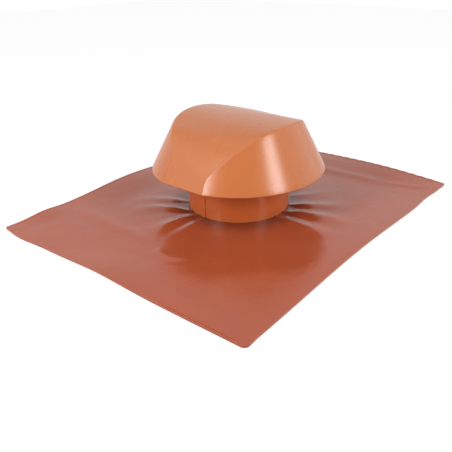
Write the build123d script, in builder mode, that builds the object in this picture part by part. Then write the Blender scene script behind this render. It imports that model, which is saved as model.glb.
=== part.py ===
# Roof vent cap: a moulded hood on a round collar, set in a flexible flashing sheet.
# Millimetres, +Z up. The origin is on the duct axis, at the level of the roof the sheet lies on.
# +X runs along the sheet's short side, +Y along its long side.
import os
from math import atan2, cos, degrees, exp, hypot, pi, radians, sqrt, tan

from build123d import *

# Collar: a round sleeve for the duct, on a thin flange that carries the sheet
collar_radius = 70.0
collar_wall = 3.0
collar_top = 82.0
collar_lead_in = 0.8
flange_width = 22.0
flange_thickness = 2.0
seam_width = 1.4
seam_depth = 1.0

# Hood: a cone cut by a barrel vault that runs along X
rim_radius = 118.0
rim_height = 58.5
hood_rise = 70.0
cone_angle = 27.2
flank_cut = 4.8
crown_radius = 240.0
shoulder_radius = 100.0
hood_wall = 2.5
crease_radius = 1.2
rim_edge_cut = 0.6
gate_mark_radius = 2.5
gate_mark_depth = 0.4

# Legs: flat webs under the hood's roof that stand on the collar's top edge and lap it outside
leg_count = 4
leg_first_angle = 45.0
leg_thickness = 3.0
leg_prong_width = 8.0
leg_prong_length = 14.0
leg_clearance = 0.3

# Sheet: its cut size, and how far each corner is pulled along X and Y
sheet_width = 400.0
sheet_length = 500.0
sheet_thickness = 2.4
sheet_hole_clearance = 0.3
sheet_seat_gap = 0.2
left_front_pull = (10.0, 0.0)
right_front_pull = (5.0, 1.0)
right_back_pull = (5.0, -9.0)
left_back_pull = (-6.0, 4.0)

# Sheet: how it rises to the flange, and how its edges and cross folds stand off the roof
rise_length = 73.0
back_edge_lift = 5.0
side_edge_lift = 4.0
edge_lift_reach = 90.0
front_wave_height = 1.6
front_wave_pitch = 115.0
front_wave_reach = 70.0
corner_curl = 4.0
corner_curl_reach = 45.0
back_fold_y = 195.0
front_fold_y = -162.0
fold_height = 1.1
fold_half_width = 13.0

# Gathers round the collar: angle at the foot, turn per 100 mm outwards, height, reach
gathers = [
    (56.0, 0.0, 1.8, 75.0),
    (41.0, -8.0, 2.7, 85.0),
    (20.0, -6.0, 3.0, 105.0),
    (3.0, -7.0, 2.4, 105.0),
    (-93.0, 11.0, 2.4, 90.0),
    (-110.0, 20.0, 2.8, 90.0),
    (-127.0, -8.0, 2.8, 80.0),
    (-151.0, 0.0, 2.4, 80.0),
]
gather_half_width = 10.0
gather_spread = 0.12

# Points along the sheet's two sides for its surface, and how near it passes to them
sheet_columns = 44
sheet_rows = 54
sheet_surface_tolerance = 0.05

collar_bore = collar_radius - collar_wall
flange_radius = collar_radius + flange_width
sheet_foot = flange_thickness + sheet_seat_gap
crown_height = rim_height + hood_rise
vault_half_width = rim_radius - flank_cut
leg_inner = collar_bore + leg_clearance
prong_inner = collar_radius + leg_clearance
leg_outer = prong_inner + leg_prong_width
cone_taper = tan(radians(cone_angle))
form_overrun = 4 * hood_wall


def hood_form(inset, foot):
    """The hood's outer form moved in by a wall, from the given height up."""
    side_inset = inset / cos(radians(cone_angle))
    foot_radius = rim_radius - side_inset - cone_taper * (foot - rim_height)
    cone_top = crown_height + form_overrun
    top_radius = rim_radius - side_inset - cone_taper * (cone_top - rim_height)
    vault_foot = foot - form_overrun
    foot_half_width = vault_half_width - side_inset - cone_taper * (vault_foot - rim_height)
    arch_radius = crown_radius - inset
    arch_top = crown_height - inset
    # Where the straight flank would meet the crown's arc, before the shoulder is rounded
    flank_drop = vault_half_width - side_inset + cone_taper * rim_height
    arch_centre = arch_top - arch_radius
    a = 1 + cone_taper**2
    b = arch_centre + cone_taper * flank_drop
    c = arch_centre**2 + flank_drop**2 - arch_radius**2
    corner_height = (b + sqrt(b**2 - a * c)) / a
    corner_half_width = flank_drop - cone_taper * corner_height

    with BuildPart() as form:
        with BuildSketch(Plane.XZ):
            with BuildLine():
                Polyline((0, foot), (foot_radius, foot), (top_radius, cone_top), (0, cone_top), close=True)
            make_face()
        revolve(axis=Axis.Z)
        with BuildSketch(Plane.YZ) as arch:
            with BuildLine():
                ThreePointArc(
                    (corner_half_width, corner_height), (0, arch_top), (-corner_half_width, corner_height)
                )
                Polyline(
                    (-corner_half_width, corner_height),
                    (-foot_half_width, vault_foot),
                    (foot_half_width, vault_foot),
                    (corner_half_width, corner_height),
                )
            make_face()
            fillet(arch.vertices().group_by(Axis.Y)[-1], radius=shoulder_radius - inset)
        extrude(amount=rim_radius + form_overrun, both=True, mode=Mode.INTERSECT)
    return form.part


def smooth(value):
    """Ease from 0 to 1 with level ends."""
    part = min(max(value, 0.0), 1.0)
    return part * part * (3 - 2 * part)


def bell(distance, half_width):
    """A soft ridge of height 1."""
    return exp(-((distance / half_width) ** 2))


def gather_height(x, y):
    """Height of the radial gathers at a place on the sheet."""
    reach_out = hypot(x, y) - collar_radius
    angle = degrees(atan2(y, x))
    height = 0.0
    for foot_angle, turn, top, reach in gathers:
        crest = foot_angle + turn * reach_out / 100
        off_crest = radians((angle - crest + 180) % 360 - 180) * (collar_radius + max(reach_out, 0.0))
        width = gather_half_width + gather_spread * max(reach_out, 0.0)
        height += top * bell(off_crest, width) * (1 - smooth(reach_out / reach))
    return height


def sheet_height(x, y):
    """Height of the sheet's underside above the roof."""
    half_width = sheet_width / 2
    half_length = sheet_length / 2
    radius = hypot(x, y)
    rise = sheet_foot * smooth(1 - (radius - flange_radius) / rise_length)
    back = back_edge_lift * smooth(1 - (half_length - y) / edge_lift_reach)
    back *= smooth((half_width - x) / half_width)
    side = side_edge_lift * smooth(1 - (half_width - x) / edge_lift_reach) * smooth(1 - abs(y) / half_length)
    wave = front_wave_height * (1 - cos(2 * pi * (x + half_width) / front_wave_pitch)) / 2
    wave *= smooth(1 - (half_length + y) / front_wave_reach)
    curl = corner_curl * smooth(1 - hypot(x + half_width, y + half_length) / corner_curl_reach)
    fold = fold_height * (bell(y - back_fold_y, fold_half_width) + bell(y - front_fold_y, fold_half_width))
    return rise + back + side + wave + curl + fold + gather_height(x, y)


def sheet_place(across, along):
    """Plan place on the sheet from its two shares, 0 to 1, with the corners pulled."""
    x = sheet_width * (across - 0.5)
    y = sheet_length * (along - 0.5)
    pulls = (
        (left_front_pull, (1 - across) * (1 - along)),
        (right_front_pull, across * (1 - along)),
        (right_back_pull, across * along),
        (left_back_pull, (1 - across) * along),
    )
    for pull, share in pulls:
        x += pull[0] * share
        y += pull[1] * share
    return x, y


# Hood
hood_inside = hood_form(hood_wall, rim_height - hood_wall)
leg_room = hood_form(hood_wall / 2, collar_top - leg_prong_length)

with BuildPart() as legs:
    for number in range(leg_count):
        leg_plane = Plane.XZ.rotated((0, 0, leg_first_angle + number * 360 / leg_count))
        with BuildSketch(leg_plane):
            with BuildLine():
                Polyline(
                    (leg_inner, collar_top),
                    (prong_inner, collar_top),
                    (prong_inner, collar_top - leg_prong_length),
                    (leg_outer, collar_top - leg_prong_length),
                    (leg_outer, crown_height),
                    (leg_inner, crown_height),
                    close=True,
                )
            make_face()
        extrude(amount=leg_thickness / 2, both=True)
    add(leg_room, mode=Mode.INTERSECT)

with BuildPart() as hood:
    add(hood_form(0, rim_height))
    creases = hood.edges().filter_by(GeomType.BSPLINE)
    fillet(creases, radius=crease_radius)
    rim_edges = hood.edges().group_by(Axis.Z)[0]
    chamfer(rim_edges, length=rim_edge_cut)
    add(hood_inside, mode=Mode.SUBTRACT)
    with BuildSketch(Plane.XY.offset(crown_height - gate_mark_depth)):
        Circle(gate_mark_radius)
    extrude(amount=hood_wall, mode=Mode.SUBTRACT)
    add(legs.part)
hood.part.label = "hood"

# Collar
with BuildPart() as collar:
    with BuildSketch(Plane.XZ):
        with BuildLine():
            Polyline(
                (collar_bore, 0),
                (flange_radius, 0),
                (flange_radius, flange_thickness),
                (collar_radius, flange_thickness),
                (collar_radius, collar_top),
                (collar_bore, collar_top),
                close=True,
            )
        make_face()
    revolve(axis=Axis.Z)
    top_edges = collar.edges().group_by(Axis.Z)[-1]
    chamfer(top_edges, length=collar_lead_in)
    with BuildSketch(Plane.XY.offset(flange_thickness)):
        with Locations((0, -collar_radius)):
            Rectangle(seam_width, 2 * seam_depth)
    extrude(amount=collar_top, mode=Mode.SUBTRACT)
collar.part.label = "collar"

# Flashing sheet
sheet_points = []
for row in range(sheet_rows + 1):
    line_points = []
    for column in range(sheet_columns + 1):
        x, y = sheet_place(column / sheet_columns, row / sheet_rows)
        line_points.append((x, y, sheet_height(x, y)))
    sheet_points.append(line_points)

with BuildPart() as flashing_sheet:
    underside = Face.make_surface_from_array_of_points(sheet_points, tol=sheet_surface_tolerance)
    extrude(underside, amount=sheet_thickness, dir=(0, 0, 1))
    with BuildSketch(Plane.XY):
        Circle(collar_radius + sheet_hole_clearance)
    extrude(amount=collar_top, mode=Mode.SUBTRACT)
flashing_sheet.part.label = "flashing_sheet"

os.makedirs("parts", exist_ok=True)
export_step(hood.part, "parts/hood.step")
export_step(collar.part, "parts/collar.step")
export_step(flashing_sheet.part, "parts/flashing_sheet.step")
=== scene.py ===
"""Dressed model of a roof vent cap: a moulded hood over a collar, set in a flexible flashing sheet.

Sizes are in millimetres in the shared frame of the solids: +Z up along the duct, +Y along the sheet.
"""
import logging
import math
from dataclasses import dataclass, field
from enum import Enum

import bmesh
import bpy
import numpy as np
from mathutils import Matrix, Vector


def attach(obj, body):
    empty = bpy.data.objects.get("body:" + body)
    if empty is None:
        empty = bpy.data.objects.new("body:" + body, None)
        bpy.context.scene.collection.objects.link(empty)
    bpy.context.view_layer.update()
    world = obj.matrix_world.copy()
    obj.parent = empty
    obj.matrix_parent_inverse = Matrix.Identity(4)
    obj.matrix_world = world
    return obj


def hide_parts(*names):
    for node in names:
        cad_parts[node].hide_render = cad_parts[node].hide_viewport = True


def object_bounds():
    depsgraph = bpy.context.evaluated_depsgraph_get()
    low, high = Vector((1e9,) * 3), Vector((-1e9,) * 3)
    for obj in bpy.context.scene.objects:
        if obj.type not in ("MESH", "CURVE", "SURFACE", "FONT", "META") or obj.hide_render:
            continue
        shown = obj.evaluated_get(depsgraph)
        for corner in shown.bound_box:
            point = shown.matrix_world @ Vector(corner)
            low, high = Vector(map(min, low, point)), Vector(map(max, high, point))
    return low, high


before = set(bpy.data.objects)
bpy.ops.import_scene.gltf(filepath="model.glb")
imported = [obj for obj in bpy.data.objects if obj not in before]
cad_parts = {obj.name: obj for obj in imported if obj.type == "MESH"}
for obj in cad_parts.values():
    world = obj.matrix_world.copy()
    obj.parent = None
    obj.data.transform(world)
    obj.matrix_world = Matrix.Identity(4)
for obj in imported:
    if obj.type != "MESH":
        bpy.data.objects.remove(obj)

SOLID_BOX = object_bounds()
MM = 0.001
LOG = logging.getLogger("roof_vent_cap")


class Body(Enum):
    """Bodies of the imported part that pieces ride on."""

    ROOT = "root"


class Side(Enum):
    """Sides of the flashing sheet, with the direction that points out of each."""

    FRONT = (0.0, -1.0)
    RIGHT = (1.0, 0.0)
    BACK = (0.0, 1.0)
    LEFT = (-1.0, 0.0)


def linear(code: str) -> tuple[float, float, float, float]:
    """Turn an sRGB hex colour into a linear one.

    Args:
        code: Colour such as "#C76C34".

    Returns:
        Linear red, green, blue and an alpha of 1.
    """
    parts = [int(code[i:i + 2], 16) / 255 for i in (1, 3, 5)]
    values = [p / 12.92 if p <= 0.04045 else ((p + 0.055) / 1.055) ** 2.4 for p in parts]
    return values[0], values[1], values[2], 1.0


def add_node(tree: bpy.types.NodeTree, kind: str, inputs: dict | None = None, **settings) -> bpy.types.Node:
    """Add a node, with its settings and with values or links for its inputs.

    Args:
        tree: Tree that gets the node.
        kind: Node type.
        inputs: Values or output sockets by input name or number.
        **settings: Properties of the node.

    Returns:
        The new node.
    """
    node = tree.nodes.new(kind)
    for name, value in settings.items():
        setattr(node, name, value)
    for key, value in (inputs or {}).items():
        if isinstance(value, bpy.types.NodeSocket):
            tree.links.new(value, node.inputs[key])
        else:
            node.inputs[key].default_value = value
    return node


def smooth(value: np.ndarray) -> np.ndarray:
    """Ease from 0 to 1 with level ends."""
    part = np.clip(value, 0.0, 1.0)
    return part * part * (3 - 2 * part)


def bell(distance: np.ndarray, half_width: float) -> np.ndarray:
    """Soft ridge of height 1."""
    return np.exp(-((distance / half_width) ** 2))


def grid_faces(rows: int, columns: int, first: int = 0, closed: bool = False) -> list[tuple[int, ...]]:
    """Quads over a grid of points numbered row by row.

    Args:
        rows: Points down the grid.
        columns: Points across the grid.
        first: Number of its first point.
        closed: Whether the last column joins the first.

    Returns:
        Corner numbers of each quad.
    """
    across = columns if closed else columns - 1
    return [
        (
            first + row * columns + column,
            first + row * columns + (column + 1) % columns,
            first + (row + 1) * columns + (column + 1) % columns,
            first + (row + 1) * columns + column,
        )
        for row in range(rows - 1)
        for column in range(across)
    ]


def make_object(name: str, points: np.ndarray, faces: list[tuple[int, ...]]) -> bpy.types.Object:
    """Make a mesh object at the origin from points in millimetres.

    Args:
        name: Name of the object and its mesh.
        points: Places of the points, one row each.
        faces: Corner numbers of each face.

    Returns:
        The object, linked into the scene.
    """
    mesh = bpy.data.meshes.new(name)
    mesh.from_pydata((points * MM).tolist(), [], faces)
    piece = bpy.data.objects.new(name, mesh)
    bpy.context.scene.collection.objects.link(piece)
    return piece


def close_shell(piece: bpy.types.Object, sharp_angle: float) -> None:
    """Merge doubles, point the faces outwards and shade smooth up to an angle.

    Args:
        piece: Object whose mesh is finished.
        sharp_angle: Edges that turn more than this many degrees stay sharp.
    """
    work = bmesh.new()
    work.from_mesh(piece.data)
    bmesh.ops.remove_doubles(work, verts=work.verts, dist=0.005 * MM)
    bmesh.ops.dissolve_degenerate(work, edges=work.edges, dist=0.002 * MM)
    bmesh.ops.recalc_face_normals(work, faces=work.faces)
    work.to_mesh(piece.data)
    work.free()
    piece.data.shade_smooth()
    piece.data.set_sharp_from_angle(angle=math.radians(sharp_angle))


def bake_modifiers(piece: bpy.types.Object) -> None:
    """Turn what the modifiers make into the object's own plain mesh.

    Args:
        piece: Object whose modifiers are used up.
    """
    graph = bpy.context.evaluated_depsgraph_get()
    graph.update()
    mesh = bpy.data.meshes.new_from_object(piece.evaluated_get(graph))
    piece.modifiers.clear()
    piece.data = mesh


def set_inputs(modifier: bpy.types.NodesModifier, values: dict[str, object]) -> None:
    """Set a Geometry Nodes modifier's inputs by the identifiers of their sockets.

    Args:
        modifier: Modifier that has its tree already.
        values: Values by the inputs' names.
    """
    for item in modifier.node_group.interface.items_tree:
        if item.in_out == "INPUT" and item.name in values:
            modifier[item.identifier] = values[item.name]


def start_tree(name: str, sockets: dict[str, str]) -> tuple[bpy.types.NodeTree, bpy.types.Node]:
    """Start a Geometry Nodes tree that takes and gives a geometry.

    Args:
        name: Name of the tree.
        sockets: Socket type of each named input.

    Returns:
        The tree and its input node.
    """
    tree = bpy.data.node_groups.new(name, "GeometryNodeTree")
    tree.interface.new_socket("Geometry", in_out="INPUT", socket_type="NodeSocketGeometry")
    for label, kind in sockets.items():
        tree.interface.new_socket(label, in_out="INPUT", socket_type=kind)
    tree.interface.new_socket("Geometry", in_out="OUTPUT", socket_type="NodeSocketGeometry")
    return tree, add_node(tree, "NodeGroupInput")


def end_tree(tree: bpy.types.NodeTree, geometry: bpy.types.NodeSocket, material: bpy.types.NodeSocket) -> None:
    """End a tree in plain geometry with one material.

    Args:
        tree: Tree to end.
        geometry: Socket with what the tree made.
        material: Socket with the material.
    """
    plain = add_node(tree, "GeometryNodeRealizeInstances", {"Geometry": geometry})
    dressed = add_node(tree, "GeometryNodeSetMaterial", {"Geometry": plain.outputs[0], "Material": material})
    add_node(tree, "NodeGroupOutput", {"Geometry": dressed.outputs[0]})


@dataclass(frozen=True)
class Finish:
    """What the finishes share: a colour and a gloss that change together in soft clouds."""

    name: str
    colour: str
    cloud_colour: str
    roughness: float
    ior: float
    cloud_size: float
    cloud_detail: float
    cloud_range: tuple[float, float] = (0.3, 0.7)
    roughness_swing: float = 0.03

    def start(self) -> tuple[bpy.types.Material, bpy.types.Node]:
        """Start an empty material.

        Returns:
            The material and its texture coordinates.
        """
        made = bpy.data.materials.new(self.name)
        made.use_nodes = True
        made.node_tree.nodes.clear()
        return made, add_node(made.node_tree, "ShaderNodeTexCoord")

    def clouds(
        self, tree: bpy.types.NodeTree, place: bpy.types.NodeSocket
    ) -> tuple[bpy.types.NodeSocket, bpy.types.NodeSocket]:
        """Add the cloudy colour and roughness.

        Args:
            tree: Tree of the material.
            place: Object coordinates.

        Returns:
            The colour and the roughness.
        """
        scale = 1 / (self.cloud_size * MM)
        cloud = add_node(tree, "ShaderNodeTexNoise", {"Vector": place, "Scale": scale, "Detail": self.cloud_detail})
        colour = add_node(
            tree,
            "ShaderNodeMix",
            {0: cloud.outputs["Fac"], 6: linear(self.cloud_colour), 7: linear(self.colour)},
            data_type="RGBA",
        )
        gloss = add_node(
            tree,
            "ShaderNodeMapRange",
            {
                "Value": cloud.outputs["Fac"],
                "From Min": self.cloud_range[0],
                "From Max": self.cloud_range[1],
                "To Min": self.roughness - self.roughness_swing,
                "To Max": self.roughness + self.roughness_swing,
            },
        )
        return colour.outputs[2], gloss.outputs[0]

    def off_axis(self, tree: bpy.types.NodeTree, place: bpy.types.NodeSocket) -> bpy.types.NodeSocket:
        """Add the distance from the Z axis."""
        flat = add_node(tree, "ShaderNodeVectorMath", {0: place, 1: (1.0, 1.0, 0.0)}, operation="MULTIPLY")
        return add_node(tree, "ShaderNodeVectorMath", {0: flat.outputs[0]}, operation="LENGTH").outputs["Value"]

    def end(
        self,
        made: bpy.types.Material,
        colour: bpy.types.NodeSocket,
        gloss: bpy.types.NodeSocket,
        relief: bpy.types.NodeSocket,
    ) -> bpy.types.Material:
        """End the material in its surface.

        Args:
            made: Material to end.
            colour: Its colour.
            gloss: Its roughness.
            relief: Its bumped normal.

        Returns:
            The material.
        """
        surface = {"Base Color": colour, "Roughness": gloss, "IOR": self.ior, "Normal": relief}
        shader = add_node(made.node_tree, "ShaderNodeBsdfPrincipled", surface)
        add_node(made.node_tree, "ShaderNodeOutputMaterial", {"Surface": shader.outputs[0]})
        return made


@dataclass(frozen=True)
class MouldedPlastic(Finish):
    """Injection moulded rigid PVC, coloured through, with the satin gloss of a polished mould.

    The eye sees one clean colour with faint cloudy flow marks, soft streaks of light and a slight
    unevenness in the gloss.
    """

    name: str = "moulded_pvc"
    colour: str = "#C76F34"
    cloud_colour: str = "#C36B2F"
    roughness: float = 0.28
    ior: float = 1.53
    cloud_size: float = 45.0
    cloud_detail: float = 3.0
    skin_size: float = 1.6
    skin_depth: float = 0.0015
    gate_radius: float = 2.5
    gate_depth: float = 0.4

    def material(self, gate_mark: bool) -> bpy.types.Material:
        """Build the material.

        Args:
            gate_mark: Whether the moulding's gate leaves a round mark on the Z axis.

        Returns:
            The material.
        """
        made, given = self.start()
        tree, place = made.node_tree, given.outputs["Object"]
        colour, gloss = self.clouds(tree, place)
        scale = 1 / (self.skin_size * MM)
        skin = add_node(tree, "ShaderNodeTexNoise", {"Vector": place, "Scale": scale, "Detail": 2.0})
        relief = add_node(
            tree,
            "ShaderNodeBump",
            {"Height": skin.outputs["Fac"], "Strength": 1.0, "Distance": self.skin_depth * MM},
        )
        if gate_mark:
            step = add_node(
                tree,
                "ShaderNodeMapRange",
                {
                    "Value": self.off_axis(tree, place),
                    "From Min": (self.gate_radius - self.gate_depth) * MM,
                    "From Max": self.gate_radius * MM,
                },
                interpolation_type="SMOOTHSTEP",
            )
            relief = add_node(
                tree,
                "ShaderNodeBump",
                {
                    "Height": step.outputs[0],
                    "Strength": 1.0,
                    "Distance": self.gate_depth * MM,
                    "Normal": relief.outputs[0],
                },
            )
        return self.end(made, colour, gloss, relief.outputs[0])


@dataclass(frozen=True)
class FlashingMembrane(Finish):
    """Calendered elastomer membrane over a stretch mesh, glossy on top.

    The eye sees a deep red-brown with a wet gloss, uneven cloudy tone and the fine criss-cross of the mesh
    pressed through, stronger on slopes. A darker ring round the collar is painted shade, standing in for the
    shade that the hood and the collar cast on the sheet at the collar's foot. The mesh is finer than the
    render shows, so it is drawn at 2.6 mm.
    """

    name: str = "calendered_membrane"
    colour: str = "#B35431"
    cloud_colour: str = "#A94E2F"
    roughness: float = 0.2
    ior: float = 1.5
    cloud_size: float = 38.0
    cloud_detail: float = 4.0
    mesh_pitch: float = 2.6
    mesh_depth: float = 0.16
    mesh_on_flat: float = 0.22
    mesh_slopes: tuple[float, float] = (8.0, 24.0)
    dent_size: float = 22.0
    dent_depth: float = 0.6
    # Radii and depth of the painted shade round the collar's foot, which stands in for the shade under the hood
    painted_shade_radii: tuple[float, float] = (70.0, 106.0)
    painted_shade_level: float = 0.45

    def material(self) -> bpy.types.Material:
        """Build the material.

        Returns:
            The material.
        """
        made, given = self.start()
        tree, place = made.node_tree, given.outputs["Object"]
        colour, gloss = self.clouds(tree, place)
        # Painted shade: the colour darkens towards the collar, from the outer radius to the inner, for the shade under
        # the hood
        painted_shade = add_node(
            tree,
            "ShaderNodeMapRange",
            {
                "Value": self.off_axis(tree, place),
                "From Min": self.painted_shade_radii[0] * MM,
                "From Max": self.painted_shade_radii[1] * MM,
                "To Min": self.painted_shade_level,
                "To Max": 1.0,
            },
            interpolation_type="SMOOTHSTEP",
        )
        shaded = add_node(tree, "ShaderNodeVectorMath", {0: colour, "Scale": painted_shade.outputs[0]}, operation="SCALE")
        # A wave texture repeats each 2 pi / 20 of its scaled length
        thread = {
            "Vector": place,
            "Scale": 2 * math.pi / 20 / (self.mesh_pitch * MM),
            "Distortion": 0.6,
            "Detail": 1.0,
            "Detail Scale": 0.3,
        }
        warp, weft = (add_node(tree, "ShaderNodeTexWave", thread, bands_direction=way) for way in ("X", "Y"))
        mesh = add_node(tree, "ShaderNodeMath", {0: warp.outputs["Fac"], 1: weft.outputs["Fac"]}, operation="MULTIPLY")
        scale = 1 / (self.dent_size * MM)
        dents = add_node(tree, "ShaderNodeTexNoise", {"Vector": place, "Scale": scale, "Detail": 2.0})
        soft = add_node(
            tree,
            "ShaderNodeBump",
            {"Height": dents.outputs["Fac"], "Strength": 1.0, "Distance": self.dent_depth * MM},
        )
        facing = add_node(tree, "ShaderNodeSeparateXYZ", {0: given.outputs["Normal"]})
        drawn = add_node(
            tree,
            "ShaderNodeMapRange",
            {
                "Value": facing.outputs["Z"],
                "From Min": math.cos(math.radians(self.mesh_slopes[1])),
                "From Max": math.cos(math.radians(self.mesh_slopes[0])),
                "To Min": 1.0,
                "To Max": self.mesh_on_flat,
            },
        )
        relief = add_node(
            tree,
            "ShaderNodeBump",
            {
                "Height": mesh.outputs[0],
                "Strength": drawn.outputs[0],
                "Distance": self.mesh_depth * MM,
                "Normal": soft.outputs[0],
            },
        )
        return self.end(made, shaded.outputs[0], gloss, relief.outputs[0])


@dataclass
class Hood:
    """Thin moulded hood: a cone cut by a barrel vault along X, on four legs."""

    rim_radius: float = 118.0
    rim_height: float = 58.5
    rise: float = 70.0
    cone_angle: float = 27.2
    flank_cut: float = 4.8
    crown_radius: float = 240.0
    shoulder_radius: float = 100.0
    wall: float = 2.5
    crease_radius: float = 4.0
    far_crease_radius: float = 8.0
    inner_crease_radius: float = 0.5
    rim_edge_radius: float = 1.25
    end_slimming: float = 2.1
    far_end_slimming: float = -3.2
    middle_swell: float = 2.4
    shoulder_band: tuple[float, float, float, float] = (11.5, 41.5, 53.5, 65.5)
    flank_points: int = 20
    shoulder_points: int = 34
    crown_points: int = 8
    cone_points: int = 11
    crease_points: int = 7
    vault_points: int = 25
    rim_points: int = 6
    leg_count: int = 4
    leg_first_angle: float = 45.0
    leg_thickness: float = 3.0
    leg_inner: float = 67.3
    leg_step: float = 70.3
    leg_outer: float = 78.3
    leg_seat: float = 82.0
    leg_foot: float = 68.0
    leg_edge: float = 0.4
    finish: MouldedPlastic = field(default_factory=lambda: MouldedPlastic(name="moulded_pvc_hood"))

    @property
    def slope(self) -> float:
        """Lean of the cone and the flanks from upright, in radians."""
        return math.radians(self.cone_angle)

    def cone_radius(self, inset: float, height: np.ndarray) -> np.ndarray:
        """Radius of the cone, moved in by a wall, at a height."""
        side = inset / math.cos(self.slope)
        return self.rim_radius - side - math.tan(self.slope) * (height - self.rim_height)

    def arch(self, inset: float, foot: float) -> tuple[np.ndarray, np.ndarray]:
        """Profile of the vault in Y and Z, from the foot at +Y over the crown to the foot at -Y.

        Args:
            inset: How far the profile is moved in.
            foot: Height where the flanks end.

        Returns:
            Points of the profile and their outward normals.
        """
        outward = np.array([math.cos(self.slope), math.sin(self.slope)])
        along = np.array([-outward[1], outward[0]])
        flank = outward @ np.array([self.rim_radius - self.flank_cut, self.rim_height])
        crown_centre = np.array([0.0, self.rim_height + self.rise - self.crown_radius])
        # The shoulder's centre is a shoulder radius inside the flank and inside the crown's arc
        start = outward * (flank - self.shoulder_radius)
        reach = start - crown_centre
        gap = self.crown_radius - self.shoulder_radius
        slide = reach @ along
        shift = math.sqrt(slide**2 - reach @ reach + gap**2) - slide
        shoulder_centre = start + along * shift
        top_turn = math.atan2(*(shoulder_centre - crown_centre)[::-1])
        bend = shoulder_centre + (self.shoulder_radius - inset) * outward
        flank_z = np.linspace(foot, bend[1], self.flank_points)
        flank_y = bend[0] + (bend[1] - flank_z) * math.tan(self.slope)
        shoulder_turn = np.linspace(self.slope, top_turn, self.shoulder_points)[1:]
        crown_turn = np.linspace(top_turn, math.pi / 2, self.crown_points)[1:]
        turns = np.concatenate([np.full(len(flank_z), self.slope), shoulder_turn, crown_turn])
        shoulder = shoulder_centre + (self.shoulder_radius - inset) * np.stack(
            [np.cos(shoulder_turn), np.sin(shoulder_turn)], axis=1
        )
        crown = crown_centre + (self.crown_radius - inset) * np.stack([np.cos(crown_turn), np.sin(crown_turn)], axis=1)
        half = np.concatenate([np.stack([flank_y, flank_z], axis=1), shoulder, crown])
        normals = np.stack([np.cos(turns), np.sin(turns)], axis=1)
        mirror = np.array([-1.0, 1.0])
        return (
            np.concatenate([half, half[-2::-1] * mirror]),
            np.concatenate([normals, normals[-2::-1] * mirror]),
        )

    def end_columns(
        self, arch: np.ndarray, normals: np.ndarray, inset: float, foot: float, crease_radius: float
    ) -> list[np.ndarray]:
        """Columns of points at the +X end, from the rim up the cone and round the crease.

        Args:
            arch: Profile of the vault at this end.
            normals: Its outward normals.
            inset: How far the surface is moved in.
            foot: Height where the surface ends.
            crease_radius: Rounding between the cone and the vault.

        Returns:
            Columns, the last on the vault's edge.
        """
        y, z = arch.T
        x = np.sqrt(np.maximum(self.cone_radius(inset, z) ** 2 - y**2, 0.0))
        turn = np.arctan2(y, x)
        around = np.column_stack([np.cos(turn), np.sin(turn)])
        cone_normal = np.column_stack([around * math.cos(self.slope), np.full_like(turn, math.sin(self.slope))])
        vault_normal = np.column_stack([np.zeros_like(y), normals])
        cosine = np.sum(cone_normal * vault_normal, axis=1)[:, None]
        ball = np.stack([x, y, z], axis=1) - crease_radius * (cone_normal + vault_normal) / (1 + cosine)
        angle = np.arccos(np.clip(cosine, -1.0, 1.0))
        rounding = []
        for t in np.linspace(0.0, 1.0, self.crease_points):
            swing = np.sin((1 - t) * angle) * cone_normal + np.sin(t * angle) * vault_normal
            rounding.append(ball + crease_radius * swing / np.sin(angle))
        side_turn = np.arctan2(rounding[0][:, 1], rounding[0][:, 0])
        foot_radius = float(self.cone_radius(inset, np.array(foot)))
        around = np.column_stack([np.cos(side_turn), np.sin(side_turn)])
        rim = np.column_stack([foot_radius * around, np.full_like(y, foot)])
        return [rim + (rounding[0] - rim) * t for t in np.linspace(0.0, 1.0, self.cone_points)[:-1]] + rounding

    def shell(self, inset: float, foot: float, crease_radii: tuple[float, float]) -> np.ndarray:
        """Points of one side of the hood, one row for each point of the arch.

        Each row runs from the rim up the cone, round the crease, across the vault and down again. The
        shoulders of the vault are slimmer at its near end, fuller at its far end and swell a little between.

        Args:
            inset: How far the surface is moved in.
            foot: Height where the surface ends.
            crease_radii: Rounding between the cone and the vault at the near and the far end.

        Returns:
            Points as rows, columns and X, Y, Z.
        """
        arch, normals = self.arch(inset, foot)
        above = arch[:, 1] + inset - self.rim_height
        low, full, last, high = self.shoulder_band
        share = smooth((above - low) / (full - low)) * smooth((high - above) / (high - last))
        mirror = np.array([-1.0, 1.0, 1.0])
        near, far = (
            self.end_columns(arch - slimming * share[:, None] * normals, normals, inset, foot, radius)
            for slimming, radius in zip((self.end_slimming, self.far_end_slimming), crease_radii)
        )
        far = [column * mirror for column in far[::-1]]
        swell = self.middle_swell * share[:, None] * np.column_stack([np.zeros(len(arch)), normals])
        vault = [
            near[-1] * (1 - t) + far[0] * t + 4 * t * (1 - t) * swell
            for t in np.linspace(0.0, 1.0, self.vault_points)[1:-1]
        ]
        grid = np.stack(near + vault + far, axis=1)
        grid[:, :, 2] = np.maximum(grid[:, :, 2], foot)
        return grid

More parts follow.
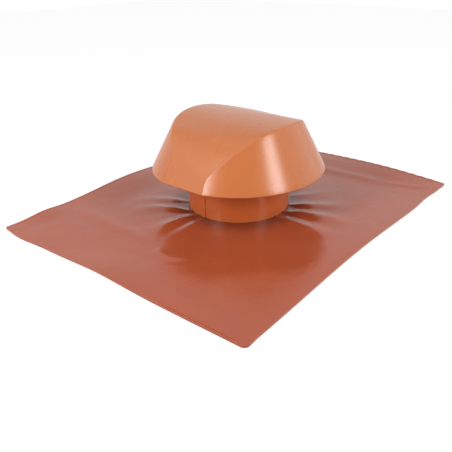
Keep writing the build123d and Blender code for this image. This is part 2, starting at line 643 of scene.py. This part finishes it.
    def build(self) -> bpy.types.Object:
        """Build the shell with its rounded rim.

        Returns:
            The shell, not dressed yet.
        """
        edge = self.rim_edge_radius
        start = self.rim_height + edge * (1 + math.sin(self.slope))
        outer = self.shell(0.0, start, (self.crease_radius, self.far_crease_radius))
        inner = self.shell(self.wall, self.rim_height, (self.inner_crease_radius, self.far_crease_radius - self.wall))
        rows, columns = outer.shape[:2]
        loop = (
            [(row, 0) for row in range(rows)]
            + [(rows - 1, column) for column in range(1, columns)]
            + [(row, columns - 1) for row in range(rows - 2, -1, -1)]
            + [(0, column) for column in range(columns - 2, 0, -1)]
        )
        numbers = np.array([row * columns + column for row, column in loop])
        rim = outer.reshape(-1, 3)[numbers]
        flat = np.array([row in (0, rows - 1) for row, _ in loop])
        radial = rim[:, :2] / np.linalg.norm(rim[:, :2], axis=1)[:, None]
        upright = np.stack([np.zeros(len(rim)), np.sign(rim[:, 1])], axis=1)
        out = np.concatenate([np.where(flat[:, None], upright, radial), np.zeros((len(rim), 1))], axis=1)
        up = np.array([0.0, 0.0, 1.0])
        centre = rim - edge * (math.cos(self.slope) * out + math.sin(self.slope) * up)
        rings = [
            centre + edge * (math.cos(turn) * out + math.sin(turn) * up)
            for turn in np.linspace(self.slope, -math.pi / 2, self.rim_points)[1:]
        ]
        points = np.concatenate([outer.reshape(-1, 3), *rings, inner.reshape(-1, 3)])
        count = len(loop)
        inner_first = rows * columns + len(rings) * count
        faces = grid_faces(rows, columns) + grid_faces(rows, columns, inner_first)
        chain = [numbers]
        chain += [rows * columns + number * count + np.arange(count) for number in range(len(rings))]
        chain.append(inner_first + numbers)
        for above, below in zip(chain, chain[1:]):
            faces += [
                (int(above[i]), int(above[(i + 1) % count]), int(below[(i + 1) % count]), int(below[i]))
                for i in range(count)
            ]
        piece = make_object("hood_shell", points, faces)
        close_shell(piece, 35.0)
        return piece

    def leg(self) -> bpy.types.Object:
        """Build one flat leg on the X axis, whose top ends inside the hood's wall.

        Returns:
            The leg, not dressed yet.
        """
        radii = np.linspace(self.leg_inner, self.leg_outer, 8)
        arch, _ = self.arch(self.wall / 2, self.rim_height)
        half = arch[: len(arch) // 2 + 1]
        turn = math.radians(self.leg_first_angle)
        vault = np.interp(-radii * math.sin(turn), -half[:, 0], half[:, 1])
        side = self.wall / 2 / math.cos(self.slope)
        cone = self.rim_height + (self.rim_radius - side - radii) / math.tan(self.slope)
        top = np.minimum(vault, cone)
        profile = [
            (self.leg_inner, self.leg_seat),
            (self.leg_step, self.leg_seat),
            (self.leg_step, self.leg_foot),
            (self.leg_outer, self.leg_foot),
            *zip(radii[::-1], top[::-1]),
        ]
        count = len(profile)
        half_thick = self.leg_thickness / 2
        points = np.array([(r, side * half_thick, z) for side in (-1.0, 1.0) for r, z in profile])
        faces = [tuple(range(count)), tuple(range(2 * count - 1, count - 1, -1))]
        faces += [(i, count + i, count + (i + 1) % count, (i + 1) % count) for i in range(count)]
        piece = make_object("hood_leg", points, faces)
        close_shell(piece, 30.0)
        edge = piece.modifiers.new("moulded_edges", "BEVEL")
        edge.width = self.leg_edge * MM
        edge.segments = 2
        edge.limit_method = "ANGLE"
        bake_modifiers(piece)
        return piece

    def ring_of_legs(self, material: bpy.types.Material) -> bpy.types.Object:
        """Set the leg round the collar with Geometry Nodes.

        Args:
            material: Finish of the legs.

        Returns:
            All legs as one plain mesh.
        """
        tree, given = start_tree(
            "legs_round_the_collar",
            {
                "Leg": "NodeSocketObject",
                "Count": "NodeSocketInt",
                "First angle": "NodeSocketFloat",
                "Material": "NodeSocketMaterial",
            },
        )
        spots = add_node(tree, "GeometryNodePoints", {"Count": given.outputs["Count"]})
        number = add_node(tree, "GeometryNodeInputIndex")
        pitch = add_node(tree, "ShaderNodeMath", {0: math.tau, 1: given.outputs["Count"]}, operation="DIVIDE")
        turn = add_node(
            tree,
            "ShaderNodeMath",
            {0: number.outputs[0], 1: pitch.outputs[0], 2: given.outputs["First angle"]},
            operation="MULTIPLY_ADD",
        )
        spin = add_node(tree, "ShaderNodeCombineXYZ", {"Z": turn.outputs[0]})
        shape = add_node(tree, "GeometryNodeObjectInfo", {"Object": given.outputs["Leg"]})
        placed = add_node(
            tree,
            "GeometryNodeInstanceOnPoints",
            {"Points": spots.outputs[0], "Instance": shape.outputs["Geometry"], "Rotation": spin.outputs[0]},
        )
        end_tree(tree, placed.outputs[0], given.outputs["Material"])
        leg = self.leg()
        piece = make_object("hood_legs", np.zeros((1, 3)), [])
        modifier = piece.modifiers.new("legs", "NODES")
        modifier.node_group = tree
        set_inputs(
            modifier,
            {
                "Leg": leg,
                "Count": self.leg_count,
                "First angle": math.radians(self.leg_first_angle),
                "Material": material,
            },
        )
        bake_modifiers(piece)
        bpy.data.objects.remove(leg)
        piece.data.set_sharp_from_angle(angle=math.radians(30.0))
        return piece

    def dress(self) -> list[bpy.types.Object]:
        """Build, dress and place the hood.

        Returns:
            Its shell and its legs.
        """
        material = self.finish.material(gate_mark=True)
        shell = self.build()
        shell.data.materials.append(material)
        legs = self.ring_of_legs(material)
        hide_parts("hood")
        for piece in (shell, legs):
            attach(piece, Body.ROOT.value)
        return [shell, legs]


@dataclass
class Collar:
    """Round sleeve for the duct with one moulded seam, on a thin flange under the sheet."""

    radius: float = 70.0
    wall: float = 3.0
    top: float = 82.0
    lead_in: float = 0.8
    flange_radius: float = 92.0
    flange_thickness: float = 2.0
    flange_edge: float = 0.4
    seam_turn: float = -90.0
    seam_half_width: float = 0.75
    seam_depth: float = 1.0
    seam_lip: float = 0.25
    seam_lip_width: float = 5.0
    outer_rows: int = 16
    inner_rows: int = 14
    turn_points: int = 288
    seam_turns: tuple[tuple[float, int], ...] = ((1.2, 41), (6.0, 49))
    finish: MouldedPlastic = field(
        default_factory=lambda: MouldedPlastic(
            name="moulded_pvc_collar", colour="#D36B32", cloud_colour="#CB632B"
        )
    )

    def build(self) -> bpy.types.Object:
        """Build the sleeve as a turned profile with the seam pressed into it.

        Returns:
            The sleeve, not dressed yet.
        """
        bore = self.radius - self.wall
        edge = self.flange_edge
        foot = [
            (bore + edge, 0.0),
            (self.flange_radius - edge, 0.0),
            (self.flange_radius, edge),
            (self.flange_radius, self.flange_thickness - edge),
            (self.flange_radius - edge, self.flange_thickness),
        ]
        rise = np.linspace(self.flange_thickness, self.top - self.lead_in, self.outer_rows)
        outer = [(self.radius, z) for z in rise]
        inner = [(bore, z) for z in np.linspace(self.top - self.lead_in, edge, self.inner_rows)]
        profile = [*foot, *outer, (self.radius - self.lead_in, self.top), (bore + self.lead_in, self.top), *inner]
        wide = np.linspace(0.0, 360.0, self.turn_points, endpoint=False)
        near = np.concatenate([np.linspace(-half, half, count) for half, count in self.seam_turns])
        turns = np.unique(np.round(np.concatenate([wide, near % 360.0]), 4))
        # Turns are counted from the seam, and off is the distance from it round the wall
        off = np.radians((turns + 180.0) % 360.0 - 180.0) * self.radius
        slope = 0.5 * self.seam_half_width
        groove = self.seam_depth * (1 - smooth((np.abs(off) - slope) / slope))
        lip = self.seam_lip * np.where(off < 0, 1 - smooth(-off / self.seam_lip_width), 0.0)
        press = np.where(np.abs(off) < self.seam_half_width, -groove, 0.0) + lip
        angle = np.radians(turns + self.seam_turn)
        pressed = range(len(foot), len(foot) + len(outer))
        rows = []
        for number, (radius, z) in enumerate(profile):
            reach = radius + (press if number in pressed else 0.0)
            rows.append(np.stack([reach * np.cos(angle), reach * np.sin(angle), np.full_like(angle, z)], axis=1))
        rows.append(rows[0])
        points = np.concatenate(rows)
        piece = make_object("duct_collar", points, grid_faces(len(rows), len(angle), closed=True))
        close_shell(piece, 32.0)
        return piece

    def dress(self) -> list[bpy.types.Object]:
        """Build, dress and place the collar.

        Returns:
            Its one piece.
        """
        piece = self.build()
        piece.data.materials.append(self.finish.material(gate_mark=False))
        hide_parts("collar")
        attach(piece, Body.ROOT.value)
        return [piece]


@dataclass(frozen=True)
class Gather:
    """One radial gather of the sheet: angle at its foot, turn and bend per 100 mm, height, reach, half width."""

    foot_angle: float
    turn: float
    bend: float
    height: float
    reach: float
    half_width: float


@dataclass(frozen=True)
class Swell:
    """A stretch of the sheet's edge that stands off the roof: side, centre, half length, lift, reach."""

    side: Side
    centre: float
    half_length: float
    lift: float
    reach: float


@dataclass(frozen=True)
class Bow:
    """A stretch of the sheet's edge that runs out of line in plan: side, centre, half length, offset outwards."""

    side: Side
    centre: float
    half_length: float
    offset: float


@dataclass(frozen=True)
class Fold:
    """A soft ridge left by packing: its path in plan, height, half width and how far its ends run out."""

    path: tuple[tuple[float, float], ...]
    height: float
    half_width: float
    run_out: float

    def rise(self, x: np.ndarray, y: np.ndarray) -> np.ndarray:
        """Height that the ridge adds.

        Args:
            x: Places along the sheet's short side.
            y: Places along its long side.

        Returns:
            Heights.
        """
        away = np.full_like(x, np.inf)
        along = np.zeros_like(x)
        total = 0.0
        for (x0, y0), (x1, y1) in zip(self.path, self.path[1:]):
            length = math.hypot(x1 - x0, y1 - y0)
            part = np.clip(((x - x0) * (x1 - x0) + (y - y0) * (y1 - y0)) / length**2, 0.0, 1.0)
            gap = np.hypot(x - x0 - part * (x1 - x0), y - y0 - part * (y1 - y0))
            along = np.where(gap < away, total + part * length, along)
            away = np.minimum(gap, away)
            total += length
        ends = smooth(along / self.run_out) * smooth((total - along) / self.run_out)
        return self.height * bell(away, self.half_width) * ends


@dataclass
class FlashingSheet:
    """Flexible sheet with a hole for the collar, gathered round it and creased by packing."""

    corners: tuple[tuple[float, float], ...] = ((-190.0, -250.0), (205.0, -249.0), (205.0, 241.0), (-206.0, 254.0))
    cut_size: tuple[float, float] = (400.0, 500.0)
    hole_radius: float = 70.3
    collar_radius: float = 70.0
    thickness: float = 2.4
    foot_height: float = 4.6
    flange_radius: float = 92.0
    rise_length: float = 73.0
    gather_spread: float = 0.15
    gather_foot: tuple[float, float] = (0.2, 26.0)
    side_points: tuple[int, int, int, int] = (140, 150, 230, 430)
    rows: int = 40
    row_power: float = 1.3
    edge_rows: tuple[float, ...] = (5.0, 4.0, 3.2, 2.6, 2.0, 1.2, 0.5, 0.0)
    back_scallop: tuple[float, float] = (14.5, 1.6)
    left_teeth: tuple[float, float] = (4.2, 0.6)
    edge_lips: tuple[float, float, float, float] = (0.0, 0.0, 0.8, 0.6)
    corner_rounding: tuple[float, float, float, float] = (2.5, 6.5, 3.0, 4.0)
    corner_fade: float = 20.0
    corner_curl: float = 1.0
    corner_curl_reach: float = 22.0
    hem_line: Fold = Fold(((88.0, -246.6), (199.0, -245.6)), -0.45, 0.9, 12.0)
    gathers: tuple[Gather, ...] = (
        Gather(50.0, -2.0, 14.0, 1.4, 85.0, 4.5),
        Gather(27.0, 4.0, 4.0, 3.0, 110.0, 4.5),
        Gather(6.0, 22.0, -18.0, 4.2, 120.0, 4.5),
        Gather(-8.0, 3.0, 1.0, 3.4, 120.0, 4.5),
        Gather(-88.5, 1.0, 2.5, 3.6, 125.0, 4.5),
        Gather(-101.0, -8.0, 11.0, 4.0, 115.0, 4.5),
        Gather(-113.5, -62.0, 50.0, 3.2, 100.0, 4.5),
        Gather(-141.0, -16.0, 13.0, 2.2, 95.0, 4.5),
    )
    swells: tuple[Swell, ...] = (
        Swell(Side.BACK, 40.0, 120.0, 5.5, 90.0),
        Swell(Side.BACK, 125.0, 75.0, 2.8, 60.0),
        Swell(Side.RIGHT, -25.0, 130.0, 4.2, 80.0),
        Swell(Side.LEFT, -35.0, 80.0, 6.0, 75.0),
        Swell(Side.LEFT, -190.0, 24.0, 2.8, 45.0),
        Swell(Side.FRONT, -5.0, 55.0, 3.4, 60.0),
    )
    bows: tuple[Bow, ...] = (
        Bow(Side.RIGHT, -30.0, 190.0, -3.6),
        Bow(Side.RIGHT, 178.0, 30.0, -2.6),
        Bow(Side.FRONT, -150.0, 28.0, 3.0),
    )
    folds: tuple[Fold, ...] = (
        Fold(((-10.0, 185.0), (30.0, 187.0), (96.0, 190.0), (140.0, 193.0)), 1.2, 8.0, 40.0),
        Fold(((118.0, 190.0), (150.0, 196.0), (198.0, 213.0)), 0.7, 5.0, 20.0),
        Fold(((-180.0, -152.0), (-100.0, -158.0), (-63.0, -156.0), (-31.0, -159.0), (10.0, -166.0)), 1.0, 9.0, 40.0),
        Fold(
            ((4.0, -168.0), (14.0, -172.0), (24.0, -173.5), (37.0, -172.0), (47.0, -166.0), (54.0, -156.0)),
            1.3,
            3.6,
            14.0,
        ),
        Fold(((160.0, -100.0), (139.0, -127.0), (114.0, -152.0), (82.0, -168.0)), 2.4, 38.0, 40.0),
    )
    finish: FlashingMembrane = field(default_factory=FlashingMembrane)

    def outline(self) -> tuple[np.ndarray, np.ndarray]:
        """Cut edge of the sheet in plan, corner by corner from the front left.

        Returns:
            Points of the closed outline, and how far the edge is lipped up at each.
        """
        points, lips = [], []
        sides = list(Side)
        for number, side in enumerate(sides):
            start = np.array(self.corners[number])
            end = np.array(self.corners[(number + 1) % 4])
            length = float(np.linalg.norm(end - start))
            share = np.linspace(0.0, 1.0, self.side_points[number], endpoint=False)
            along = share * length
            line = start + np.outer(share, end - start)
            out = np.zeros_like(share)
            if side is Side.BACK:
                pitch, depth = self.back_scallop
                out += depth * (np.abs(np.sin(math.pi * along / pitch)) - 1)
            elif side is Side.LEFT:
                pitch, depth = self.left_teeth
                out -= depth * np.abs((along / pitch) % 1.0 * 2 - 1)
            run = line @ np.abs(np.array(side.value)[::-1])
            for bow in self.bows:
                if bow.side is side:
                    out += bow.offset * bell(run - bow.centre, bow.half_length)
            out *= smooth(np.minimum(along, length - along) / self.corner_fade)
            line = line + np.outer(out, side.value)
            for corner, ends, other in ((number, along, number - 1), ((number + 1) % 4, length - along, number + 1)):
                # A parabola that stands in for the round, 0.41 of its radius deep on the diagonal
                radius = self.corner_rounding[corner]
                pull = 0.29 * radius * np.clip(1 - ends / radius, 0.0, 1.0) ** 2
                line = line - np.outer(pull, np.add(side.value, sides[other % 4].value))
            points.append(line)
            lips.append(self.edge_lips[number] * smooth(np.minimum(along, length - along) / self.corner_fade))
        return np.concatenate(points), np.concatenate(lips)

    def relief(self, x: np.ndarray, y: np.ndarray) -> np.ndarray:
        """Height of the sheet's top above the roof, without the gathers.

        Args:
            x: Places along the short side.
            y: Places along the long side.

        Returns:
            Heights.
        """
        radius = np.hypot(x, y)
        ease = smooth(1 - (radius - self.flange_radius) / self.rise_length)
        height = self.thickness + (self.foot_height - self.thickness) * ease
        inward = {
            Side.FRONT: (y + self.cut_size[1] / 2, x),
            Side.RIGHT: (self.corners[1][0] - x, y),
            Side.BACK: (self.cut_size[1] / 2 - y, x),
            Side.LEFT: (x + self.cut_size[0] / 2, y),
        }
        for swell in self.swells:
            depth, along = inward[swell.side]
            ease = bell(along - swell.centre, swell.half_length) * smooth(1 - depth / swell.reach)
            height = height + swell.lift * ease
        for fold in self.folds:
            height = height + fold.rise(x, y)
        tip = np.hypot(x - self.corners[0][0], y - self.corners[0][1])
        return height + self.hem_line.rise(x, y) + self.corner_curl * smooth(1 - tip / self.corner_curl_reach)

    def gather_tree(self) -> bpy.types.NodeTree:
        """Geometry Nodes tree that raises one radial gather.

        Returns:
            The tree.
        """
        sizes = (
            "Foot angle",
            "Turn",
            "Bend",
            "Height",
            "Reach",
            "Half width",
            "Spread",
            "Foot share",
            "Foot length",
            "Collar radius",
        )
        kinds = dict.fromkeys(sizes, "NodeSocketFloat") | {"Material": "NodeSocketMaterial"}
        tree, given = start_tree("one_gather", kinds)
        place = add_node(tree, "ShaderNodeSeparateXYZ", {0: add_node(tree, "GeometryNodeInputPosition").outputs[0]})
        plan = add_node(tree, "ShaderNodeCombineXYZ", {"X": place.outputs["X"], "Y": place.outputs["Y"]})
        radius = add_node(tree, "ShaderNodeVectorMath", {0: plan.outputs[0]}, operation="LENGTH")
        known = {size: given.outputs[size] for size in sizes}
        known |= {"x": place.outputs["X"], "y": place.outputs["Y"], "radius": radius.outputs["Value"]}
        # Distance off the gather's crest line, which turns and bends on its way out, as a share of its width
        for result, operation, *terms in (
            ("out", "SUBTRACT", "radius", "Collar radius"),
            ("angle", "ARCTAN2", "y", "x"),
            ("rate", "MULTIPLY_ADD", "out", "Bend", "Turn"),
            ("crest", "MULTIPLY_ADD", "out", "rate", "Foot angle"),
            ("lag", "SUBTRACT", "angle", "crest"),
            ("near", "WRAP", "lag", math.pi, -math.pi),
            ("off", "MULTIPLY", "near", "radius"),
            ("width", "MULTIPLY_ADD", "out", "Spread", "Half width"),
            ("share", "DIVIDE", "off", "width"),
            ("square", "MULTIPLY", "share", "share"),
            ("minus", "MULTIPLY", "square", -1.0),
            ("ridge", "EXPONENT", "minus"),
        ):
            values = {number: known.get(term, term) for number, term in enumerate(terms)}
            known[result] = add_node(tree, "ShaderNodeMath", values, operation=operation).outputs[0]
        fade, grow = (
            add_node(
                tree,
                "ShaderNodeMapRange",
                {"Value": known["out"], "From Max": known[end], "To Min": known[first], "To Max": last},
                interpolation_type="SMOOTHSTEP",
            )
            for end, first, last in (("Reach", "Height", 0.0), ("Foot length", "Foot share", 1.0))
        )
        tall = add_node(tree, "ShaderNodeMath", {0: grow.outputs[0], 1: fade.outputs[0]}, operation="MULTIPLY")
        lift = add_node(tree, "ShaderNodeMath", {0: known["ridge"], 1: tall.outputs[0]}, operation="MULTIPLY")
        raised = add_node(tree, "ShaderNodeCombineXYZ", {"Z": lift.outputs[0]})
        moved = add_node(
            tree, "GeometryNodeSetPosition", {"Geometry": given.outputs["Geometry"], "Offset": raised.outputs[0]}
        )
        end_tree(tree, moved.outputs[0], given.outputs["Material"])
        return tree

    def build(self, material: bpy.types.Material) -> bpy.types.Object:
        """Build the sheet: columns from the hole out to the cut edge, raised, gathered and thickened.

        Args:
            material: Finish of the sheet.

        Returns:
            The sheet as a plain mesh.
        """
        edge, lips = self.outline()
        reach = np.linalg.norm(edge, axis=1)
        ray = edge / reach[:, None]
        span = reach - self.edge_rows[0] - self.hole_radius
        share = np.linspace(0.0, 1.0, self.rows, endpoint=False) ** self.row_power
        reaches = [self.hole_radius + span * part for part in share] + [reach - inset for inset in self.edge_rows]
        rows = []
        for radius in reaches:
            plan = ray * radius[:, None]
            lip = lips * (1 - smooth((reach - radius) / self.edge_rows[0]))
            rows.append(np.column_stack([plan, self.relief(plan[:, 0], plan[:, 1]) + lip]))
        points = np.concatenate(rows)
        faces = [face[::-1] for face in grid_faces(len(rows), len(edge), closed=True)]
        piece = make_object("flashing_membrane", points, faces)
        tree = self.gather_tree()
        for number, gather in enumerate(self.gathers):
            modifier = piece.modifiers.new(f"gather_{number}", "NODES")
            modifier.node_group = tree
            set_inputs(
                modifier,
                {
                    "Foot angle": math.radians(gather.foot_angle),
                    "Turn": math.radians(gather.turn) / (100 * MM),
                    "Bend": math.radians(gather.bend) / (100 * MM) ** 2,
                    "Height": gather.height * MM,
                    "Reach": gather.reach * MM,
                    "Half width": gather.half_width * MM,
                    "Spread": self.gather_spread,
                    "Foot share": self.gather_foot[0],
                    "Foot length": self.gather_foot[1] * MM,
                    "Collar radius": self.collar_radius * MM,
                    "Material": material,
                },
            )
        body = piece.modifiers.new("membrane", "SOLIDIFY")
        body.thickness = self.thickness * MM
        body.offset = -1.0
        bake_modifiers(piece)
        # The underside lies on the roof and never dips below it
        for point in piece.data.vertices:
            point.co.z = max(point.co.z, 0.0)
        piece.data.shade_smooth()
        piece.data.set_sharp_from_angle(angle=math.radians(50.0))
        return piece

    def dress(self) -> list[bpy.types.Object]:
        """Returns:
            Its one piece.
        """
        piece = self.build(self.finish.material())
        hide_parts("flashing_sheet")
        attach(piece, Body.ROOT.value)
        return [piece]


@dataclass(frozen=True)
class Softbox:
    """One lamp: its turn round the object, height angle, distance, width, height and power in watts."""

    turn: float
    height_angle: float
    distance: float
    width: float
    height: float
    power: float


@dataclass
class Studio:
    """Camera, strip lamps, wide lamps at the sides and overhead, white surroundings and a pale floor."""

    turn: float = 39.918
    height_angle: float = 26.221
    roll: float = -0.952
    distance: float = 784.794
    slide: float = -17.852
    drop: float = -31.254
    lens: float = 44.04
    softboxes: tuple[Softbox, ...] = (
        Softbox(-99.0, 28.0, 1200.0, 300.0, 420.0, 5.3),
        Softbox(-102.0, 52.0, 1200.0, 300.0, 420.0, 0.9),
        Softbox(0.0, 28.0, 1200.0, 300.0, 420.0, 5.3),
        Softbox(-130.0, 30.0, 1400.0, 1500.0, 1400.0, 4.3),
        Softbox(52.0, 30.0, 1400.0, 1200.0, 1400.0, 3.7),
        Softbox(-60.0, 82.0, 1300.0, 1600.0, 1600.0, 3.6),
    )
    ambient: float = 0.17
    floor_size: float = 6000.0
    floor_gap: float = 0.05
    floor_glow: float = 0.95
    floor_light: float = 0.8
    floor_shade: float = 0.12

    def camera(self) -> None:
        """Set the camera where the photograph was taken from."""
        turn, tilt, roll = (math.radians(angle) for angle in (self.turn, self.height_angle, self.roll))
        back = Vector((math.sin(turn) * math.cos(tilt), -math.cos(turn) * math.cos(tilt), math.sin(tilt)))
        level = Vector((math.cos(turn), math.sin(turn), 0.0))
        upright = back.cross(level)
        right = level * math.cos(roll) + upright * math.sin(roll)
        up = upright * math.cos(roll) - level * math.sin(roll)
        eye = (back * self.distance + right * self.slide + up * self.drop) * MM
        data = bpy.data.cameras.new("camera")
        data.lens = self.lens
        data.sensor_width = 36.0
        data.clip_start = 0.01
        camera = bpy.data.objects.new("camera", data)
        camera.matrix_world = Matrix.Translation(eye) @ Matrix((right, up, back)).transposed().to_4x4()
        bpy.context.scene.collection.objects.link(camera)
        bpy.context.scene.camera = camera

    def lamps(self) -> None:
        """Hang the soft lamps, each turned to the middle of the object."""
        for number, box in enumerate(self.softboxes):
            turn, tilt = math.radians(box.turn), math.radians(box.height_angle)
            way = Vector((math.cos(turn) * math.cos(tilt), math.sin(turn) * math.cos(tilt), math.sin(tilt)))
            data = bpy.data.lights.new(f"softbox_{number}", "AREA")
            data.shape = "RECTANGLE"
            data.size, data.size_y = box.width * MM, box.height * MM
            data.energy = box.power
            lamp = bpy.data.objects.new(data.name, data)
            lamp.location = way * box.distance * MM
            lamp.rotation_euler = way.to_track_quat("Z", "Y").to_euler()
            bpy.context.scene.collection.objects.link(lamp)

    def seen_white(self, tree: bpy.types.NodeTree) -> bpy.types.NodeSocket:
        """Add a switch that is 1 for rays that see the surroundings and 0 for rays that light the object.

        Args:
            tree: Tree that gets the switch.

        Returns:
            Its socket.
        """
        path = add_node(tree, "ShaderNodeLightPath")
        pair = add_node(
            tree,
            "ShaderNodeMath",
            {0: path.outputs["Is Camera Ray"], 1: path.outputs["Is Glossy Ray"]},
            operation="MAXIMUM",
        )
        switch = add_node(
            tree, "ShaderNodeMath", {0: pair.outputs[0], 1: path.outputs["Is Transmission Ray"]}, operation="MAXIMUM"
        )
        return switch.outputs[0]

    def surroundings(self) -> None:
        """Make the world white where it is seen and dim where it lights."""
        world = bpy.data.worlds.new("white_room")
        world.use_nodes = True
        tree = world.node_tree
        tree.nodes.clear()
        level = add_node(
            tree, "ShaderNodeMapRange", {"Value": self.seen_white(tree), "To Min": self.ambient, "To Max": 1.0}
        )
        glow = add_node(tree, "ShaderNodeBackground", {"Color": linear("#FFFFFF"), "Strength": level.outputs[0]})
        add_node(tree, "ShaderNodeOutputWorld", {"Surface": glow.outputs[0]})
        bpy.context.scene.world = world

    def floor(self) -> None:
        """Lay the pale floor, which is seen as white and keeps a faint shadow."""
        half = self.floor_size / 2
        low = SOLID_BOX[0][2] / MM - self.floor_gap
        corners = np.array([(-half, -half, low), (half, -half, low), (half, half, low), (-half, half, low)])
        piece = make_object("floor", corners, [(0, 1, 2, 3)])
        made = bpy.data.materials.new("pale_floor")
        made.use_nodes = True
        tree = made.node_tree
        tree.nodes.clear()
        seen = self.seen_white(tree)
        level = add_node(tree, "ShaderNodeMapRange", {"Value": seen, "To Min": 0.0, "To Max": self.floor_glow})
        paint = add_node(
            tree, "ShaderNodeMapRange", {"Value": seen, "To Min": self.floor_light, "To Max": self.floor_shade}
        )
        glow = add_node(tree, "ShaderNodeEmission", {"Color": linear("#FFFFFF"), "Strength": level.outputs[0]})
        matt = add_node(tree, "ShaderNodeBsdfDiffuse", {"Color": paint.outputs[0]})
        both = add_node(tree, "ShaderNodeAddShader", {0: glow.outputs[0], 1: matt.outputs[0]})
        add_node(tree, "ShaderNodeOutputMaterial", {"Surface": both.outputs[0]})
        piece.data.materials.append(made)

    def build(self) -> None:
        """Build the whole studio."""
        self.camera()
        self.lamps()
        self.surroundings()
        self.floor()
        bpy.context.scene.view_settings.view_transform = "Standard"


def main() -> None:
    """Build every sub-assembly and the studio."""
    logging.basicConfig(level=logging.INFO, format="%(name)s: %(message)s")
    for assembly in (Collar(), FlashingSheet(), Hood()):
        for piece in assembly.dress():
            LOG.info("%s: %d faces", piece.name, len(piece.data.polygons))
    Studio().build()


if __name__ == "__main__":
    main()
